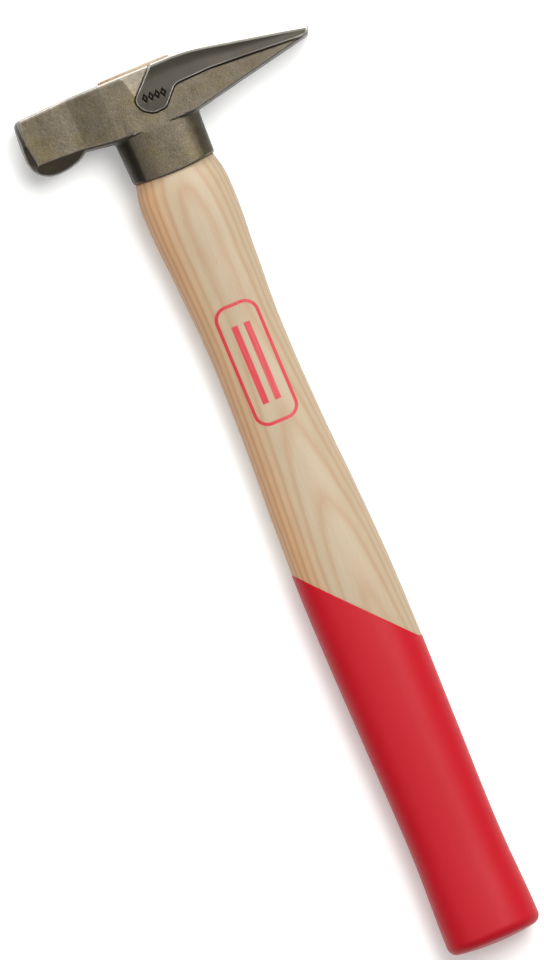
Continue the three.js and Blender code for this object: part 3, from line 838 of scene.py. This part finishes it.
# The print: a frame with round ends and two bars along the handle, in the grip's red, a little broken by the
# grain
PRINT_DOWN = 63
FRAME_CORE = (2.6, 15.0, 0)
FRAME_CORNER = 4.0
BAR_ASIDE = 2.0
BAR_REACH = 12.6
mark = add(tree, "ShaderNodeMapping", {}, wood, Location=(-0.3, PRINT_DOWN, 0), Scale=(1, 1, 0))
mark = add(tree, "ShaderNodeVectorMath", {"operation": "ABSOLUTE"}, mark)
frame_reach = add(tree, "ShaderNodeVectorMath", {"operation": "SUBTRACT"}, mark, FRAME_CORE)
frame_reach = add(tree, "ShaderNodeVectorMath", {"operation": "MAXIMUM"}, frame_reach, (0, 0, 0))
frame_reach = add(tree, "ShaderNodeVectorMath", {"operation": "LENGTH"}, frame_reach).outputs["Value"]
off_frame = add(tree, "ShaderNodeMath", {"operation": "SUBTRACT"}, frame_reach, FRAME_CORNER)
off_frame = add(tree, "ShaderNodeMath", {"operation": "ABSOLUTE"}, off_frame)
on_frame = add(tree, "ShaderNodeMapRange", {}, off_frame, 0.45, 0.6, 1, 0)
mark_x, mark_y, _ = add(tree, "ShaderNodeSeparateXYZ", {}, mark).outputs
off_bar = add(tree, "ShaderNodeMath", {"operation": "SUBTRACT"}, mark_x, BAR_ASIDE)
off_bar = add(tree, "ShaderNodeMath", {"operation": "ABSOLUTE"}, off_bar)
across_bar = add(tree, "ShaderNodeMapRange", {}, off_bar, 0.95, 1.1, 1, 0)
along_bar = add(tree, "ShaderNodeMapRange", {}, mark_y, BAR_REACH, BAR_REACH + 0.2, 1, 0)
on_bar = add(tree, "ShaderNodeMath", {"operation": "MULTIPLY"}, across_bar, along_bar)
inked = add(tree, "ShaderNodeMath", {"operation": "MAXIMUM"}, on_frame, on_bar)
front = add(tree, "ShaderNodeMath", {"operation": "GREATER_THAN"}, wood_z, 0)
inked = add(tree, "ShaderNodeMath", {"operation": "MULTIPLY"}, inked, front)
worn = add(tree, "ShaderNodeMapRange", {}, fibre, 0.32, 0.5, 0.82, 0.97)
inked = add(tree, "ShaderNodeMath", {"operation": "MULTIPLY"}, inked, worn)
colour = add(tree, "ShaderNodeMix", {"data_type": "RGBA"}, inked, colour, linear("#bd162c"))
gloss = add(tree, "ShaderNodeMapRange", {}, fibre, 0.3, 0.7, 0.44, 0.54)
relief = add(tree, "ShaderNodeMath", {"operation": "MULTIPLY_ADD"}, pore, -2.0, fibre)
bumps = add(tree, "ShaderNodeBump", {}, 0.25, 0.00006, Height=relief)
shader = add(tree, "ShaderNodeBsdfPrincipled", {}, colour, Roughness=gloss, IOR=1.48, Normal=bumps)
add(tree, "ShaderNodeOutputMaterial", {}, shader)

handle = lofted_piece(
    "handle_ash",
    ash,
    Rings=360,
    Two_walls=0.0,
    Slanted_start=0.0,
    Start_down=0.08,
    Crowding=1.0,
    Lip=0.0,
    **HANDLE_SIZES,
)


def oval_ring(y, half_x, half_z, squareness, sides):
    """Points round a squared oval at height y."""
    ring = []
    for i in range(sides):
        c, s = math.cos(2 * math.pi * i / sides), math.sin(2 * math.pi * i / sides)
        x = half_x * math.copysign(abs(c) ** (2 / squareness), c)
        z = half_z * math.copysign(abs(s) ** (2 / squareness), s)
        ring.append((x, y, z))
    return ring


def stacked(name, rings, material):
    """A closed piece over rings of points from the top down, in mm."""
    mesh = bmesh.new()
    rows = [[mesh.verts.new((Vector(p) + Vector(RIM_TO_FRAME)) * MM) for p in ring] for ring in rings]
    for upper, lower in zip(rows, rows[1:]):
        for i in range(len(upper)):
            j = (i + 1) % len(upper)
            mesh.faces.new((upper[i], upper[j], lower[j], lower[i]))
    mesh.faces.new(rows[0][::-1])
    mesh.faces.new(rows[-1])
    bmesh.ops.recalc_face_normals(mesh, faces=mesh.faces)
    data = bpy.data.meshes.new(name)
    mesh.to_mesh(data)
    mesh.free()
    data.materials.append(material)
    piece = bpy.data.objects.new(name, data)
    bpy.context.scene.collection.objects.link(piece)
    return piece


def wedge_piece(name, shape, grow, above, material):
    """A wedge with its long way across the head, turned about the handle's axis."""
    spread = (shape["top"] - shape["tip"]) / shape["depth"]
    crown = shape["top"] / 2 + grow + spread * above / 2
    point = shape["tip"] / 2 + grow
    reach = shape["length"] / 2 + grow
    rings = []
    for half, y in ((crown, TENON_TOP_Y + above), (point, TENON_TOP_Y - shape["depth"] - grow)):
        ring = [(-reach, -half), (reach, -half), (reach, half), (-reach, half)]
        c, s = math.cos(math.radians(shape["turn"])), math.sin(math.radians(shape["turn"]))
        rings.append([(x * c - z * s, y, x * s + z * c) for x, z in ring])
    return stacked(name, rings, material)


def cut(piece, tool):
    """Cuts a tool's shape out of a piece, and removes the tool."""
    modifier = piece.modifiers.new("cut", "BOOLEAN")
    modifier.object = tool
    modifier.solver = "EXACT"
    graph = bpy.context.evaluated_depsgraph_get()
    result = bpy.data.meshes.new_from_object(piece.evaluated_get(graph))
    piece.modifiers.clear()
    piece.data = result
    bpy.data.objects.remove(tool)


def tenon_ring(y, inset):
    """A ring of the tenon, which stands clear of the eye's wall by the gap and the inset."""
    half_x = EYE_HALF_X - TENON_GAP - inset
    half_z = eye_half_z(y) - TENON_GAP - inset
    return oval_ring(y, half_x, half_z, EYE_SQUARENESS, 96)


tenon_rings = [tenon_ring(TENON_TOP_Y - down, inset) for down, inset in ((0, 0.45), (0.13, 0.15), (0.45, 0))]
tenon = stacked("tenon", tenon_rings + [tenon_ring(TENON_ROOT_Y, 0)], ash)
cut(tenon, wedge_piece("kerf", dict(WOOD_WEDGE, length=KERF_LENGTH), WEDGE_GAP, CUT_ABOVE, ash))
cut(tenon, wedge_piece("slot", STEEL_WEDGE, WEDGE_GAP, CUT_ABOVE, ash))
both = bmesh.new()
both.from_mesh(handle.data)
both.from_mesh(tenon.data)
for face in both.faces:
    face.material_index = 0
both.to_mesh(handle.data)
both.free()
handle.data.materials.clear()
handle.data.materials.append(ash)
bpy.data.objects.remove(tenon)
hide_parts("handle")
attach(handle, "root")


# ---------------------------------------------------------------- the wooden wedge
# A beech wedge driven into the tenon's sawn kerf, along the head, so that the tenon spreads against the eye.
# It is cut off level with the tenon and left bare, so its top shows end grain.

beech, tree = new_material("beech_wedge_end_grain")
place = add(tree, "ShaderNodeTexCoord").outputs["Object"]
in_mm = add(tree, "ShaderNodeVectorMath", {"operation": "SCALE"}, place, 1 / MM)
vessels = add(tree, "ShaderNodeTexNoise", {}, in_mm, Scale=2.4, Detail=3, Roughness=0.7)
rays_at = add(tree, "ShaderNodeVectorMath", {"operation": "MULTIPLY"}, in_mm, (0.5, 0.12, 3.2))
rays = add(tree, "ShaderNodeTexNoise", {}, rays_at, Scale=1, Detail=2, Roughness=0.5)
flecks = add(tree, "ShaderNodeMapRange", {}, rays, 0.5, 0.68, 0, 0.7)
colour = add(tree, "ShaderNodeMix", {"data_type": "RGBA"}, flecks, linear("#b88a62"), linear("#8f633f"))
vessel_tone = add(tree, "ShaderNodeMapRange", {}, vessels, 0.35, 0.7, 1.06, 0.86)
colour = add(tree, "ShaderNodeVectorMath", {"operation": "SCALE"}, colour, vessel_tone)
bumps = add(tree, "ShaderNodeBump", {}, 0.4, 0.0001, Height=vessels)
shader = add(tree, "ShaderNodeBsdfPrincipled", {}, colour, Roughness=0.66, IOR=1.5, Normal=bumps)
add(tree, "ShaderNodeOutputMaterial", {}, shader)


def eased(piece, width):
    """Bevels every edge of a piece by a width in mm."""
    mesh = bmesh.new()
    mesh.from_mesh(piece.data)
    bmesh.ops.bevel(mesh, geom=mesh.edges, offset=width * MM, segments=2, profile=0.5, affect="EDGES")
    mesh.to_mesh(piece.data)
    mesh.free()
    return piece


wooden = eased(wedge_piece("wedge_beech", WOOD_WEDGE, 0, 0, beech), 0.12)
cut(wooden, wedge_piece("slot", STEEL_WEDGE, WEDGE_GAP, CUT_ABOVE, beech))
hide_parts("wooden_wedge")
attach(wooden, "root")


# ---------------------------------------------------------------- the steel wedge
# A small wedge of mild steel, sheared from strip and driven slantwise across the wooden one. Its top is
# hammered level with the tenon: dull grey, and brighter where it is dented.

wedge_metal, tree = new_material("mild_steel_sheared_strip")
place = add(tree, "ShaderNodeTexCoord").outputs["Object"]
in_mm = add(tree, "ShaderNodeVectorMath", {"operation": "SCALE"}, place, 1 / MM)
dents = add(tree, "ShaderNodeTexNoise", {}, in_mm, Scale=0.9, Detail=3, Roughness=0.6)
colour = add(tree, "ShaderNodeMix", {"data_type": "RGBA"}, dents, linear("#6d6a66"), linear("#a3a09b"))
gloss = add(tree, "ShaderNodeMapRange", {}, dents, 0.3, 0.7, 0.34, 0.5)
bumps = add(tree, "ShaderNodeBump", {}, 0.4, 0.0001, Height=dents)
shader = add(tree, "ShaderNodeBsdfPrincipled", {}, colour, Metallic=1.0, Roughness=gloss, Normal=bumps)
add(tree, "ShaderNodeOutputMaterial", {}, shader)

metal = eased(wedge_piece("wedge_mild_steel", STEEL_WEDGE, 0, 0, wedge_metal), 0.12)
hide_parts("steel_wedge")
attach(metal, "root")


# ---------------------------------------------------------------- the grip coat
# A skin of red vinyl about half a millimetre thick, from dipping the butt at a slant. It ends in a thin
# rounded lip on a slanted line, and its surface is smooth with a satin shine.

vinyl, tree = new_material("vinyl_dip_red_satin")
place = add(tree, "ShaderNodeTexCoord").outputs["Object"]
in_mm = add(tree, "ShaderNodeVectorMath", {"operation": "SCALE"}, place, 1 / MM)
flow_at = add(tree, "ShaderNodeVectorMath", {"operation": "MULTIPLY"}, in_mm, (0.22, 0.05, 0.22))
flow = add(tree, "ShaderNodeTexNoise", {}, flow_at, Scale=1, Detail=3, Roughness=0.5)
peel = add(tree, "ShaderNodeTexNoise", {}, in_mm, Scale=0.7, Detail=2, Roughness=0.5)
colour = add(tree, "ShaderNodeMix", {"data_type": "RGBA"}, flow, linear("#af0e1a"), linear("#b31123"))
gloss = add(tree, "ShaderNodeMapRange", {}, peel, 0.3, 0.7, 0.4, 0.48)
relief = add(tree, "ShaderNodeMath", {"operation": "MULTIPLY_ADD"}, flow, 3.0, peel)
bumps = add(tree, "ShaderNodeBump", {}, 0.3, 0.00006, Height=relief)
shader = add(tree, "ShaderNodeBsdfPrincipled", {}, colour, Roughness=gloss, IOR=1.45, Normal=bumps,
             Specular_IOR_Level=0.24)
add(tree, "ShaderNodeOutputMaterial", {}, shader)

coat = lofted_piece(
    "grip_coat_vinyl",
    vinyl,
    Rings=420,
    Two_walls=1.0,
    Slanted_start=1.0,
    Start_down=0.0,
    Crowding=1.6,
    Lip=0.1,
    **HANDLE_SIZES,
)
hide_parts("grip_coat")
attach(coat, "root")
